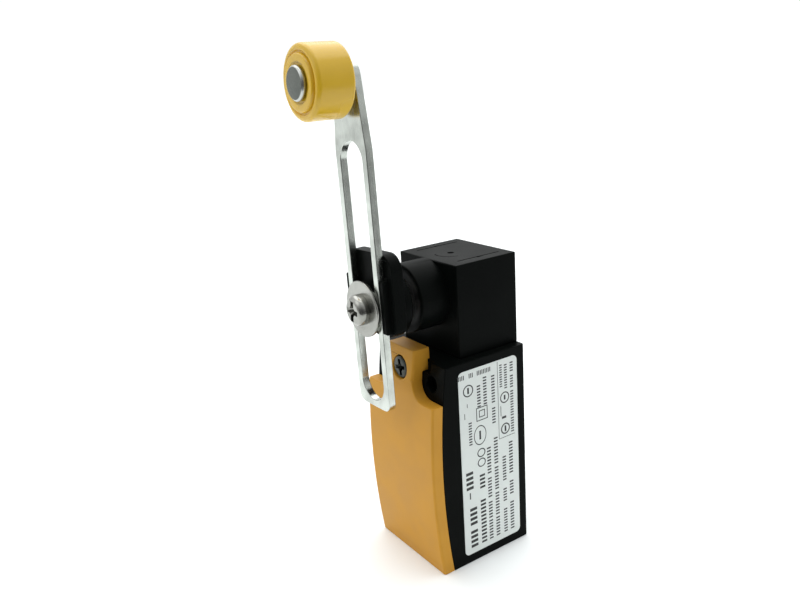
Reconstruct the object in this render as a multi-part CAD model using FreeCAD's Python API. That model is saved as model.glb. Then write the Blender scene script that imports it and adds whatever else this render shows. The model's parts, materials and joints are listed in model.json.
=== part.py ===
"""Position switch: plastic case, spring-return turning head, adjustable roller lever.

Millimetres, +Z up. The origin lies on the mounting plane, the flat back of the case,
midway between the two fixing holes. +X is to the right of someone who faces the cover
and -Y points out of the panel towards them. The lever swings about an axis along Y.
"""
import FreeCAD
import Part
import math
import os

Vector = FreeCAD.Vector

# ---- case -----------------------------------------------------------------------
case_w = 31.0            # width
case_d = 33.5            # depth, mounting plane to the foremost line of the cover
case_h = 61.0            # height
case_edge = 0.8          # rounding of the upright edges
front_bow_r = 210.0      # the front is bowed from top to bottom with this radius
fixing_span = 20.0       # distance between the fixing holes
fixing_d = 4.3           # fixing hole for an M4 screw
fixing_drop = 5.5        # fixing holes below the top of the case
side_wall = 3.0
back_wall = 2.5
floor_t = 10.0           # thick floor that carries the conduit thread
roof_t = 13.5            # solid roof that holds the fixing holes and the push rod
conduit_minor_r = 9.188  # M20 x 1.5 internal thread, minor radius

# ---- front cover ------------------------------------------------------------------
cover_depth = 3.5        # how far the cover's side walls reach back from its face
cover_wall = 1.5
cover_face = 1.9
cover_edge = 0.7
neck_w = 12.0            # tongue between the two scallops
neck_rise = 3.2          # tongue above the case
neck_depth = 7.9         # foremost line of the cover to the back of the tongue
neck_step = 3.2          # tongue block starts this far below the top of the case
neck_relief_w = 3.5      # pocket in the case on each side of the tongue block
neck_relief_step = 0.8   # floor of the pocket in front of the tongue's back
shoulder_drop = 4.5      # cover's shoulders below the fixing holes
scallop_r = 4.7          # clearance round the heads of the fixing screws
gasket_w = 1.3
gasket_t = 1.0
hook_w = 4.0
hook_x = 7.0
hook_t = 1.6
cover_screw_drop = 2.8   # cover screw below the top of the case
cover_screw_r = 1.75
cover_screw_head_r = 3.1
cover_screw_head_t = 1.8
cover_screw_len = 9.0

# ---- label ------------------------------------------------------------------------
label_t = 0.12
label_margin_front = 9.7
label_margin_back = 3.1
label_margin_bottom = 2.8
label_margin_top = 2.3
label_corner = 1.5

# ---- head -------------------------------------------------------------------------
head_w = 25.4
head_d = 20.6
head_h = 25.5
head_edge = 0.5
head_wall = 3.2
head_roof = 1.8
head_back = 3.5
boss_r = 9.5
boss_len = 8.9           # boss in front of the head
spigot_r = 8.0
spigot_len = 3.0
spigot_bore_r = 6.2
clip_t = 1.0
clip_depth = 1.0         # clip's grip in the spigot's groove
clip_top = 1.1           # clip below the top of the case
head_floor = 2.0

# ---- shaft and cam ------------------------------------------------------------------
shaft_height = 16.3      # shaft axis above the top of the case
shaft_r = 3.5
journal_r = 2.8          # rear journal
journal_len = 2.0
shaft_square = 5.6       # square end that drives the hub, across flats
running_gap = 0.05       # radial clearance of what turns or slides
end_gap = 0.1
bushing_wall = 1.5
seal_wall = 3.0
seal_t = 2.5
clip_ring_t = 0.8
clip_ring_r = 5.2
clip_groove = 0.5
cam_t = 8.0
cam_flat = 5.0           # shaft axis to a flat
cam_lobe_r = 7.1         # shaft axis to the rounded corners

# ---- push rod and contacts -----------------------------------------------------------
stroke = 2.1             # travel of the push rod and contact carrier
push_rod_r = 3.0
push_plate_r = 5.9
push_plate_t = 2.0
spring_wire_r = 0.45
spring_r = 4.6           # mean radius of the return spring
spring_turns = 5
wire_sides = 8
block_w = 23.0
block_front_gap = 9.0    # foremost line of the cover to the front of the contact block
block_back_gap = 3.5     # mounting plane to the back of the contact block
block_top_gap = 2.0      # under the roof
block_bottom_gap = 1.5   # above the floor
carrier_w = 6.0
carrier_d = 5.0
carrier_len = 27.0
carrier_window_h = 4.2
channel_w = 19.0
channel_gap = 0.5
bridge_w = 16.0
bridge_d = 3.6
bridge_t = 0.8
contact_spring_r = 1.2
contact_wire_r = 0.25
contact_spring_turns = 4
tip_r = 1.4
tip_t = 0.6
strip_t = 1.0
strip_w = 4.2
strip_x = 4.2            # inner edge of a contact strip
terminal_w = 6.8
terminal_h = 7.0
strip_pitch = 15.0       # normally closed strips to normally open strips
terminal_offset = 2.8    # terminal screw to the middle of its strip
nc_drop = 18.0           # normally closed strips below the fixing holes
touch_gap = 0.02
terminal_screw_r = 1.75
terminal_head_r = 2.75
terminal_head_t = 2.0
terminal_screw_len = 7.0
terminal_washer_t = 1.0
block_screw_r = 1.25
block_screw_head_r = 2.4
block_screw_head_t = 1.6
block_screw_x = 8.6
block_screw_rise = 2.6

# ---- hub ------------------------------------------------------------------------------
boss_gap = 2.0           # boss to the hub's collar
collar_r = 9.2
collar_len = 3.9
collar_chamfer = 1.0
hub_half_w = 10.6
hub_t = 3.4              # plate of the hub
hub_top = 14.7           # shaft axis to the top of the hub
hub_low = 6.0            # shaft axis to the flat underside of the hub
hub_corner = 4.5
hub_low_corner = 1.5
hub_bevel = 1.2
cheek_t = 1.45
cheek_recess = 0.3       # cheeks stand this much behind the lever's face
cheek_low = 5.8
cheek_high = 8.2
notch_r = 2.9

# ---- lever ----------------------------------------------------------------------------
lever_lean = 1.9         # degrees to the left at which the lever is clamped on its shaft
lever_w = 14.7
lever_t = 2.1
slot_w = 10.4
lever_reach = 57.2       # shaft axis to roller axis
lever_tail = 27.5        # shaft axis to the lower end
slot_tail = 25.6         # shaft axis to the lower end of the slot
slot_head = 42.8         # shaft axis to the upper end of the slot
taper_start = 40.6       # shaft axis to where the sides draw in
lever_end_r = 5.1
lever_corner = 2.6
lever_gap = 0.1          # lever to the hub's cheeks, each side
slide_gap = 0.02         # lever to the hub's floor and to the washer

# ---- clamp -----------------------------------------------------------------------------
washer_r = 7.5
washer_t = 0.6
disc_r = 7.3
disc_t = 0.6
clamp_r = 2.0            # M4 screw
clamp_head_r = 4.1
clamp_head_t = 2.9
clamp_len = 12.0

# ---- roller -----------------------------------------------------------------------------
roller_r = 9.0
roller_w = 10.6
roller_edge = 0.9
roller_face_r = 6.7      # raised face round the pin
roller_face_t = 0.5
roller_boss_r = 5.5
roller_gap = 1.65        # lever to the roller's tread
roller_washer_t = 0.75
pin_r = 2.5
pin_head_r = 4.15
pin_head_t = 0.95
pin_head_chamfer = 0.45
pin_tail_r = 3.4
pin_tail_t = 0.8

# ---- places worked out from the sizes above ----------------------------------------------
z_high = fixing_drop
z_low = fixing_drop - case_h
y_front = -case_d
bow_z = z_low + case_h / 2
shaft_z = z_high + shaft_height
head_y = -head_d / 2
boss_y = -head_d - boss_len
collar_y = boss_y - boss_gap
hub_back_y = collar_y - collar_len
hub_front_y = hub_back_y - hub_t
lever_back_y = hub_front_y - slide_gap
lever_front_y = lever_back_y - lever_t
washer_back_y = lever_front_y - slide_gap
washer_front_y = washer_back_y - disc_t - washer_t
roller_z = shaft_z + lever_reach
tread_back_y = lever_front_y - roller_gap
tread_front_y = tread_back_y - roller_w + roller_face_t
face_y = tread_front_y - roller_face_t
block_front_y = y_front + block_front_gap
block_high = z_high - roof_t - block_top_gap
block_low = z_low + floor_t + block_bottom_gap
nc_z = -nc_drop
no_z = nc_z - strip_pitch + strip_t
plate_top_z = shaft_z - cam_lobe_r - end_gap
plate_low_z = plate_top_z - push_plate_t
spigot_z = z_high - spigot_len
cover_screw_z = z_high - cover_screw_drop
cavity_low = z_low + floor_t
cavity_high = z_high - roof_t
X_AXIS = Vector(1, 0, 0)
Y_AXIS = Vector(0, 1, 0)
Z_AXIS = Vector(0, 0, 1)


# ---- building blocks -----------------------------------------------------------------------
def box(x0, x1, y0, y1, z0, z1):
    return Part.makeBox(x1 - x0, y1 - y0, z1 - z0, Vector(x0, y0, z0))


def rod_y(x, z, r, y0, y1):
    return Part.makeCylinder(r, y1 - y0, Vector(x, y0, z), Y_AXIS)


def rod_z(x, y, r, z0, z1):
    return Part.makeCylinder(r, z1 - z0, Vector(x, y, z0), Z_AXIS)


def tube_y(x, z, r_out, r_in, y0, y1):
    return rod_y(x, z, r_out, y0, y1).cut(rod_y(x, z, r_in, y0, y1))


def fuse(shapes):
    result = shapes[0]
    for shape in shapes[1:]:
        result = result.fuse(shape)
    return result.removeSplitter()


def cut_all(shape, tools):
    for tool in tools:
        shape = shape.cut(tool)
    return shape


def bow(depth):
    """Everything behind the bowed front, the given depth inside it."""
    length = 2 * case_w
    centre = Vector(-length / 2, y_front + front_bow_r, bow_z)
    return Part.makeCylinder(front_bow_r - depth, length, centre, X_AXIS)


def bow_y(z, depth):
    """Place of the bowed front at a height."""
    rise = z - bow_z
    return y_front + front_bow_r - math.sqrt((front_bow_r - depth) ** 2 - rise ** 2)


def plate_xz(points, y0, y1):
    """Flat plate with straight sides, drawn looking along Y."""
    loop = [Vector(x, y0, z) for x, z in points]
    wire = Part.makePolygon(loop + [loop[0]])
    return Part.Face(wire).extrude(Vector(0, y1 - y0, 0))


def parallel_edges(shape, direction, keep=None):
    chosen = []
    for edge in shape.Edges:
        if edge.Curve.TypeId != "Part::GeomLine":
            continue
        along = edge.tangentAt(edge.FirstParameter)
        if abs(along.dot(direction)) > 0.999 and (keep is None or keep(edge.CenterOfMass)):
            chosen.append(edge)
    return chosen


def coil(y, z0, z1, mean_r, wire_r, turns):
    """Wire spring standing on z0, its last turn just under z1. The wire has wire_sides flats."""
    height = z1 - z0 - 2 * wire_r - 2 * touch_gap
    helix = Part.makeHelix(height / turns, height, mean_r)
    start = Vector(0, y, z0 + wire_r + touch_gap)
    helix.translate(start)
    corners = []
    for i in range(wire_sides + 1):
        turn = 2 * math.pi * (i % wire_sides + 0.5) / wire_sides
        corners.append(start + Vector(mean_r + wire_r * math.cos(turn), 0, wire_r * math.sin(turn)))
    profile = Part.makePolygon(corners)
    return Part.Wire(helix.Edges).makePipeShell([profile], True, True)


def cross_recess(x, z, y_face, reach, depth, width):
    """Tapering cross in the head of a screw that is driven along Y."""
    blades = []
    for angle in (0, 90):
        blade = box(x - reach, x + reach, y_face, y_face + depth, z - width / 2, z + width / 2)
        blades.append(blade.rotate(Vector(x, 0, z), Y_AXIS, angle))
    core = Part.makeCone(reach * 0.55, reach * 0.3, depth * 1.25, Vector(x, y_face, z), Y_AXIS)
    return fuse(blades + [core])


def screw_y(x, z, head_r, head_t, shank_r, y_head, length, domed):
    """Cross-recess screw whose head starts at y_head and whose shank points to +Y."""
    head = rod_y(x, z, head_r, y_head, y_head + head_t)
    rim = [edge for edge in head.Edges if edge.CenterOfMass.y < y_head + 0.01]
    rim = [edge for edge in rim if edge.Curve.TypeId == "Part::GeomCircle"]
    if domed:
        head = head.makeFillet(head_t * 0.6, rim)
    else:
        head = head.makeChamfer(head_t * 0.15, rim)
    shank = rod_y(x, z, shank_r, y_head + head_t, y_head + head_t + length)
    recess = cross_recess(x, z, y_head, head_r * 0.6, head_t * 0.6, head_r * 0.22)
    return fuse([head, shank]).cut(recess)


# ---- case and cover ---------------------------------------------------------------------------
def cover_outline():
    """Front view of the cover: a rectangle with a tongue between two scallops."""
    half = case_w / 2
    neck = neck_w / 2
    shoulder = -shoulder_drop
    top = z_high + neck_rise
    sides = plate_xz(
        [(-half, z_low), (half, z_low), (half, 0), (neck, 0), (neck, top),
         (-neck, top), (-neck, 0), (-half, 0)], y_front - 1, 0)
    for side in (-1, 1):
        centre_x = side * (neck + scallop_r)
        scallop = rod_y(centre_x, shoulder + scallop_r, scallop_r, y_front - 2, 1)
        x0, x1 = sorted((centre_x, side * (half + 1)))
        outside = box(x0, x1, y_front - 2, 1, shoulder, z_high)
        x0, x1 = sorted((side * neck, side * (half + 1)))
        above = box(x0, x1, y_front - 2, 1, shoulder + scallop_r, z_high)
        sides = cut_all(sides, [scallop, outside, above])
    return sides


def front_cover():
    slab = cover_outline().common(bow(0)).cut(bow(cover_depth))
    half = case_w / 2
    inner = box(-half + cover_wall, half - cover_wall, y_front, 0,
                z_low + cover_wall, -shoulder_drop - cover_wall)
    slab = slab.cut(inner.common(bow(cover_face)))
    rib = gasket_frame().common(bow(cover_face)).cut(bow(cover_depth - gasket_t))
    neck = neck_w / 2
    tongue = box(-neck, neck, y_front, y_front + neck_depth,
                 z_high - neck_step, z_high + neck_rise).common(bow(0))
    hooks = []
    for side in (-1, 1):
        hook = box(side * hook_x - hook_w / 2, side * hook_x + hook_w / 2,
                   bow_y(z_low, cover_depth) - cover_wall, bow_y(z_low, cover_depth) + hook_w,
                   z_low + cover_wall, z_low + cover_wall + hook_t)
        hooks.append(hook)
    body = fuse([slab, rib, tongue] + hooks)
    seat_y = bow_y(cover_screw_z, 0) + cover_screw_head_t
    head_hole = rod_y(0, cover_screw_z, cover_screw_head_r + 0.2, y_front - 1, seat_y)
    screw_hole = rod_y(0, cover_screw_z, cover_screw_r + 0.15, y_front, 0)
    body = cut_all(body, [head_hole, screw_hole])

    def outer_upright(point):
        return point.y < y_front + cover_depth and point.z < 0 and abs(point.x) > half - 0.1
    edges = parallel_edges(body, Z_AXIS, outer_upright)
    return body.makeFillet(cover_edge, edges) if edges else body


def gasket_frame():
    """Upright frame that follows the rim of the case's cavity."""
    half = case_w / 2 - side_wall
    inner = box(-half, half, y_front, 0, cavity_low, cavity_high)
    half += gasket_w
    outer = box(-half, half, y_front, 0, cavity_low - gasket_w, cavity_high + gasket_w)
    return outer.cut(inner)


def cover_gasket():
    return gasket_frame().common(bow(cover_depth - gasket_t)).cut(bow(cover_depth))


def cover_screw():
    y_head = bow_y(cover_screw_z, 0) + 0.15
    return screw_y(0, cover_screw_z, cover_screw_head_r, cover_screw_head_t - 0.15,
                   cover_screw_r, y_head, cover_screw_len, False)


def housing():
    half = case_w / 2
    body = box(-half, half, y_front, 0, z_low, z_high)
    uprights = parallel_edges(body, Z_AXIS, lambda point: point.y > -1)
    body = body.makeFillet(case_edge, uprights).common(bow(cover_depth))
    cavity = box(-half + side_wall, half - side_wall, y_front, -back_wall, cavity_low, cavity_high)
    neck = neck_w / 2 + running_gap
    tongue_seat = box(-neck, neck, y_front - 1, y_front + neck_depth + running_gap,
                      z_high - neck_step - running_gap, z_high + 1)
    body = cut_all(body, [cavity, tongue_seat])
    for side in (-1, 1):
        x0, x1 = sorted((0, side * (neck + neck_relief_w)))
        relief = box(x0, x1, y_front - 1, y_front + neck_depth - neck_relief_step,
                     z_high - neck_step - running_gap, z_high + 1)
        body = body.cut(relief)
        fixing = rod_y(side * fixing_span / 2, 0, fixing_d / 2, y_front - 1, 1)
        slot = box(side * hook_x - hook_w / 2 - 0.1, side * hook_x + hook_w / 2 + 0.1,
                   y_front, bow_y(z_low, cover_depth) + hook_w + 0.1,
                   z_low + cover_wall - 0.1, z_low + cover_wall + hook_t + 0.1)
        body = cut_all(body, [fixing, slot])
        post_x = side * block_screw_x
        post_z = block_low + block_screw_rise
        post = rod_y(post_x, post_z, block_screw_head_r, -block_back_gap, -back_wall)
        body = body.fuse(post).cut(rod_y(post_x, post_z, block_screw_r, y_front, -1))
    conduit_y = (y_front + cover_depth) / 2
    conduit = rod_z(0, conduit_y, conduit_minor_r, z_low - 1, cavity_low + 1)
    spigot_seat = rod_z(0, head_y, spigot_r + running_gap, spigot_z, z_high + 1)
    guide = rod_z(0, head_y, push_rod_r + running_gap, cavity_high - 1, z_high)
    screw_hole = rod_y(0, cover_screw_z, cover_screw_r, y_front, screw_end_y())
    return cut_all(body, [conduit, spigot_seat, guide, screw_hole, clip_blank()]).removeSplitter()


def screw_end_y():
    return bow_y(cover_screw_z, 0) + cover_screw_head_t + cover_screw_len


def clip_blank():
    """Flat space behind the spigot for the head's retaining clip."""
    half = spigot_r + clip_depth
    top = z_high - clip_top
    return box(-half, half, head_y, 0, top - clip_t, top)


def head_clip():
    fork = clip_blank()
    groove_r = spigot_r - clip_depth
    opening = rod_z(0, head_y, groove_r, z_low, z_high)
    throat = box(-groove_r, groove_r, head_y - 1, head_y, z_low, z_high)
    return cut_all(fork, [opening, throat])


def rating_label():
    x0 = case_w / 2
    plate = box(x0, x0 + label_t, y_front + label_margin_front, -label_margin_back,
                z_low + label_margin_bottom, z_high - label_margin_top)
    return plate.makeFillet(label_corner, parallel_edges(plate, X_AXIS))


# ---- head ------------------------------------------------------------------------------------
def head_cavity():
    half = head_w / 2 - head_wall
    return box(-half, half, -head_d + head_wall, -head_back, z_high, z_high + head_h - head_roof)


def head_housing():
    half = head_w / 2
    block = box(-half, half, -head_d, 0, z_high, z_high + head_h)
    block = block.makeChamfer(head_edge, parallel_edges(block, Y_AXIS))
    boss = rod_y(0, shaft_z, boss_r, boss_y, -head_d + 1)
    body = fuse([block, boss]).cut(head_cavity())
    bushing_hole = rod_y(0, shaft_z, shaft_r + bushing_wall, boss_y - 1, -head_d + head_wall + 1)
    seal_hole = rod_y(0, shaft_z, shaft_r + seal_wall, boss_y - 1, boss_y + seal_t)
    journal_hole = rod_y(0, shaft_z, journal_r + running_gap, -head_back - 1,
                         -head_back + journal_len + end_gap)
    return cut_all(body, [bushing_hole, seal_hole, journal_hole]).removeSplitter()


def head_base():
    """Plate welded into the head from below, with the spigot that enters the case."""
    half = head_w / 2 - head_wall
    plate = box(-half, half, -head_d + head_wall, -head_back, z_high, z_high + head_floor)
    spigot = rod_z(0, head_y, spigot_r, spigot_z, z_high)
    groove_top = z_high - clip_top
    groove = rod_z(0, head_y, spigot_r + 1, groove_top - clip_t, groove_top)
    groove = groove.cut(rod_z(0, head_y, spigot_r - clip_depth, groove_top - clip_t, groove_top))
    bore = rod_z(0, head_y, spigot_bore_r, spigot_z - 1, z_high + head_floor + 1)
    return cut_all(fuse([plate, spigot]), [groove, bore])


def shaft_bushing():
    return tube_y(0, shaft_z, shaft_r + bushing_wall, shaft_r + running_gap,
                  boss_y + seal_t, -head_d + head_wall)


def shaft_seal():
    return tube_y(0, shaft_z, shaft_r + seal_wall, shaft_r + running_gap, boss_y, boss_y + seal_t)


def shaft():
    journal_y = -head_back + journal_len
    back = rod_y(0, shaft_z, journal_r, -head_back - end_gap, journal_y)
    middle = rod_y(0, shaft_z, shaft_r, collar_y, -head_back - end_gap)
    half = shaft_square / 2
    square = box(-half, half, hub_front_y + 0.5, collar_y, shaft_z - half, shaft_z + half)
    square = square.common(rod_y(0, shaft_z, shaft_r, hub_front_y, collar_y))
    groove = tube_y(0, shaft_z, shaft_r + 1, shaft_r - clip_groove, ring_y(), ring_y() + clip_ring_t)
    tapped = rod_y(0, shaft_z, clamp_r, hub_front_y, clamp_end_y() + 1)
    return fuse([back, middle, square]).cut(groove).cut(tapped)


def ring_y():
    return -head_d + head_wall + end_gap


def clamp_end_y():
    return washer_front_y + clamp_len


def shaft_clip():
    ring = tube_y(0, shaft_z, clip_ring_r, shaft_r - clip_groove, ring_y(), ring_y() + clip_ring_t)
    gap = shaft_r - clip_groove
    mouth = box(-gap * 0.8, gap * 0.8, -head_d, 0, shaft_z - clip_ring_r - 1, shaft_z)
    return ring.cut(mouth)


def cam():
    y0 = head_y - cam_t / 2
    lobe = rod_y(0, shaft_z, cam_lobe_r, y0, y0 + cam_t)
    flats = box(-cam_flat, cam_flat, y0, y0 + cam_t, shaft_z - cam_flat, shaft_z + cam_flat)
    return lobe.common(flats).cut(rod_y(0, shaft_z, shaft_r, y0 - 1, y0 + cam_t + 1))


# ---- push rod and contact block -----------------------------------------------------------------
def push_rod():
    plate = rod_z(0, head_y, push_plate_r, plate_low_z, plate_top_z)
    stem = rod_z(0, head_y, push_rod_r, carrier_top(), plate_low_z)
    return fuse([plate, stem])


def return_spring():
    return coil(head_y, spigot_z, plate_low_z, spring_r, spring_wire_r, spring_turns)


def carrier_top():
    return cavity_high - 1.0


def bridge_places():
    """Underside height of the normally closed and the normally open bridge."""
    closed = nc_z - tip_t - touch_gap - bridge_t
    opened = no_z + tip_t + stroke + touch_gap
    return closed, opened


def windows():
    """Height range of each bridge's window in the carrier."""
    closed, opened = bridge_places()
    upper = (closed + bridge_t - carrier_window_h, closed + bridge_t + touch_gap)
    lower = (opened - touch_gap, opened + carrier_window_h)
    return upper, lower


def contact_carrier():
    top = carrier_top()
    stem = box(-carrier_w / 2, carrier_w / 2, head_y - carrier_d / 2, head_y + carrier_d / 2,
               top - carrier_len, top)
    cuts = []
    for low, high in windows():
        cuts.append(box(-carrier_w, carrier_w, head_y - bridge_d / 2 - 0.05,
                        head_y + bridge_d / 2 + 0.05, low, high))
    return cut_all(stem, cuts)


def bridge(low):
    return box(-bridge_w / 2, bridge_w / 2, head_y - bridge_d / 2, head_y + bridge_d / 2,
               low, low + bridge_t)


def contact_springs():
    closed, opened = bridge_places()
    upper, lower = windows()
    spans = [(upper[0], closed), (opened + bridge_t, lower[1])]
    return Part.makeCompound([coil(head_y, low, high, contact_spring_r, contact_wire_r,
                                   contact_spring_turns) for low, high in spans])


def terminal_x(side):
    return side * (strip_x + terminal_w / 2)


def terminal_z(strip_z, direction):
    """Height of the terminal screw beside a strip, on the side away from the bridge."""
    return strip_z + strip_t / 2 - direction * terminal_offset


def fixed_contact(side, z, direction):
    """Strip from the terminal plate back to the contact tip, tip towards the bridge."""
    x0, x1 = sorted((side * strip_x, side * (strip_x + strip_w)))
    strip = box(x0, x1, block_front_y + strip_t, head_y + tip_r + 0.4, z, z + strip_t)
    px0, px1 = sorted((side * strip_x, side * (strip_x + terminal_w)))
    centre_z = terminal_z(z, direction)
    plate = box(px0, px1, block_front_y, block_front_y + strip_t,
                centre_z - terminal_h / 2, centre_z + terminal_h / 2)
    tip_x = side * (strip_x + strip_w / 2)
    tip_low = z + strip_t if direction > 0 else z - tip_t
    tip = rod_z(tip_x, head_y, tip_r, tip_low, tip_low + tip_t)
    hole = rod_y(terminal_x(side), centre_z, terminal_screw_r, block_front_y - 1,
                 block_front_y + strip_t)
    return fuse([strip, plate, tip]).cut(hole)


def contact_pair(z, direction):
    return Part.makeCompound([fixed_contact(side, z, direction) for side in (-1, 1)])


def nc_contacts():
    return contact_pair(nc_z, -1)


def no_contacts():
    return contact_pair(no_z - strip_t, 1)


def terminal_places():
    heights = (terminal_z(nc_z, -1), terminal_z(no_z - strip_t, 1))
    return [(terminal_x(side), z) for z in heights for side in (-1, 1)]


def terminal_washers():
    half = terminal_w / 2 - 0.3
    y0 = block_front_y - terminal_washer_t
    plates = []
    for x, z in terminal_places():
        plate = box(x - half, x + half, y0, block_front_y, z - half, z + half)
        plates.append(plate.cut(rod_y(x, z, terminal_screw_r, y0 - 1, block_front_y + 1)))
    return Part.makeCompound(plates)


def terminal_screws():
    y_head = block_front_y - terminal_washer_t - terminal_head_t
    return Part.makeCompound([screw_y(x, z, terminal_head_r, terminal_head_t, terminal_screw_r,
                                      y_head, terminal_screw_len, False)
                              for x, z in terminal_places()])


def contact_block():
    half = block_w / 2
    block = box(-half, half, block_front_y, -block_back_gap, block_low, block_high)
    channel_d = carrier_d / 2 + channel_gap
    channel_low = carrier_top() - carrier_len - stroke - channel_gap
    channel = box(-channel_w / 2, channel_w / 2, head_y - channel_d, head_y + channel_d,
                  channel_low, block_high + 1)
    block = block.cut(channel)
    shelf_cuts = [nc_contacts(), no_contacts()]
    depth = block_front_y - terminal_washer_t + terminal_screw_len
    for x, z in terminal_places():
        shelf_cuts.append(rod_y(x, z, terminal_screw_r, block_front_y, depth))
    for side in (-1, 1):
        x, z = side * block_screw_x, block_low + block_screw_rise
        shelf_cuts.append(rod_y(x, z, block_screw_r, block_front_y - 1, 0))
    return cut_all(block, shelf_cuts)


def block_screws():
    y_head = block_front_y - block_screw_head_t
    length = -block_back_gap - block_front_y + 1.8
    z = block_low + block_screw_rise
    return Part.makeCompound([screw_y(side * block_screw_x, z, block_screw_head_r,
                                      block_screw_head_t, block_screw_r, y_head, length, False)
                              for side in (-1, 1)])


# ---- hub and clamp ----------------------------------------------------------------------------------
def lean(shape):
    """Turn what sits on the shaft to the angle at which it is clamped."""
    return shape.rotate(Vector(0, 0, shaft_z), Y_AXIS, -lever_lean)


def hub():
    w = hub_half_w
    plate = box(-w, w, hub_front_y, hub_back_y, shaft_z - hub_low, shaft_z + hub_top)
    top_corners = parallel_edges(plate, Y_AXIS, lambda point: point.z > shaft_z)
    plate = plate.makeFillet(hub_corner, top_corners)
    low_corners = parallel_edges(
        plate, Y_AXIS, lambda point: point.z < shaft_z and abs(point.x) > w - 0.01)
    plate = plate.makeFillet(hub_low_corner, low_corners)
    ridge = parallel_edges(
        plate, X_AXIS, lambda point: point.y < hub_front_y + 0.01 and point.z > shaft_z + 1)
    plate = plate.makeChamfer(hub_bevel, ridge)
    collar = rod_y(0, shaft_z, collar_r, hub_back_y, collar_y)
    rim = [edge for edge in collar.Edges if edge.CenterOfMass.y > collar_y - 0.01]
    collar = collar.makeChamfer(collar_chamfer, rim)
    inner = lever_w / 2 + lever_gap
    cheeks = []
    for side in (-1, 1):
        x0, x1 = sorted((side * inner, side * (inner + cheek_t)))
        face_y0 = lever_front_y + cheek_recess
        cheek = box(x0, x1, face_y0, hub_front_y, shaft_z - cheek_low, shaft_z + cheek_high)
        horn = box(x0, x1, hub_front_y - 0.6, hub_front_y, shaft_z + cheek_high,
                   shaft_z + hub_top - hub_bevel)
        notch_z = shaft_z + cheek_high + notch_r
        notch = Part.makeCylinder(notch_r, 4 * w, Vector(-2 * w, hub_front_y - lever_t, notch_z),
                                  X_AXIS)
        cheeks.append(fuse([cheek, horn]).cut(notch))
    body = fuse([plate, collar] + cheeks)
    half = shaft_square / 2
    square = box(-half, half, hub_front_y - 1, collar_y + 1, shaft_z - half, shaft_z + half)
    square = square.common(rod_y(0, shaft_z, shaft_r, hub_front_y - 1, collar_y + 1))
    return lean(body.cut(square))


def clamp_washer():
    return tube_y(0, shaft_z, washer_r, clamp_r, washer_front_y, washer_front_y + washer_t)


def spring_disc():
    y0 = washer_front_y + washer_t
    return tube_y(0, shaft_z, disc_r, clamp_r, y0, y0 + disc_t)


def clamp_screw():
    return lean(screw_y(0, shaft_z, clamp_head_r, clamp_head_t, clamp_r,
                        washer_front_y - clamp_head_t, clamp_len, True))


# ---- lever and roller ---------------------------------------------------------------------------------
def lever_side():
    """Where the tapered side touches the round end: tangent from the taper's start."""
    start = Vector(lever_w / 2, 0, shaft_z + taper_start)
    dx = -start.x
    dz = roller_z - start.z
    reach = math.hypot(dx, dz)
    tangent = math.sqrt(reach ** 2 - lever_end_r ** 2)
    turn = math.atan2(dz, dx) - math.asin(lever_end_r / reach)
    return start, Vector(start.x + tangent * math.cos(turn), 0, start.z + tangent * math.sin(turn))


def slotted_lever():
    y0, y1 = lever_front_y, lever_back_y
    low = shaft_z - lever_tail
    start, touch = lever_side()
    blank = plate_xz([(-start.x, low), (start.x, low), (start.x, start.z), (touch.x, touch.z),
                      (-touch.x, touch.z), (-start.x, start.z)], y0, y1)
    feet = parallel_edges(blank, Y_AXIS, lambda point: point.z < low + 1)
    blank = blank.makeFillet(lever_corner, feet)
    blank = fuse([blank, rod_y(0, roller_z, lever_end_r, y0, y1)])
    half = slot_w / 2
    slot_low = shaft_z - slot_tail + half
    slot_high = shaft_z + slot_head - half
    slot = fuse([box(-half, half, y0 - 1, y1 + 1, slot_low, slot_high),
                 rod_y(0, slot_low, half, y0 - 1, y1 + 1),
                 rod_y(0, slot_high, half, y0 - 1, y1 + 1)])
    return lean(cut_all(blank, [slot, rod_y(0, roller_z, pin_r, y0 - 1, y1 + 1)]))


def roller_pin():
    head = rod_y(0, roller_z, pin_head_r, face_y - end_gap - pin_head_t, face_y - end_gap)
    rim = [edge for edge in head.Edges if edge.CenterOfMass.y < face_y - end_gap - 0.1]
    head = head.makeChamfer(pin_head_chamfer, rim)
    body = rod_y(0, roller_z, pin_r, face_y - end_gap, lever_back_y)
    tail = rod_y(0, roller_z, pin_tail_r, lever_back_y, lever_back_y + pin_tail_t)
    return lean(fuse([head, body, tail]))


def roller_washer():
    return lean(tube_y(0, roller_z, roller_boss_r - 0.5, pin_r,
                       lever_front_y - roller_washer_t, lever_front_y))


def roller():
    tread = rod_y(0, roller_z, roller_r, tread_front_y, tread_back_y)
    tread = tread.makeFillet(roller_edge, [edge for edge in tread.Edges
                                           if edge.Curve.TypeId == "Part::GeomCircle"])
    face = rod_y(0, roller_z, roller_face_r, face_y, tread_front_y)
    boss = rod_y(0, roller_z, roller_boss_r, tread_back_y,
                 lever_front_y - roller_washer_t - running_gap)
    bore = rod_y(0, roller_z, pin_r + running_gap, face_y - 1, lever_front_y)
    return lean(fuse([tread, face, boss]).cut(bore))


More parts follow.
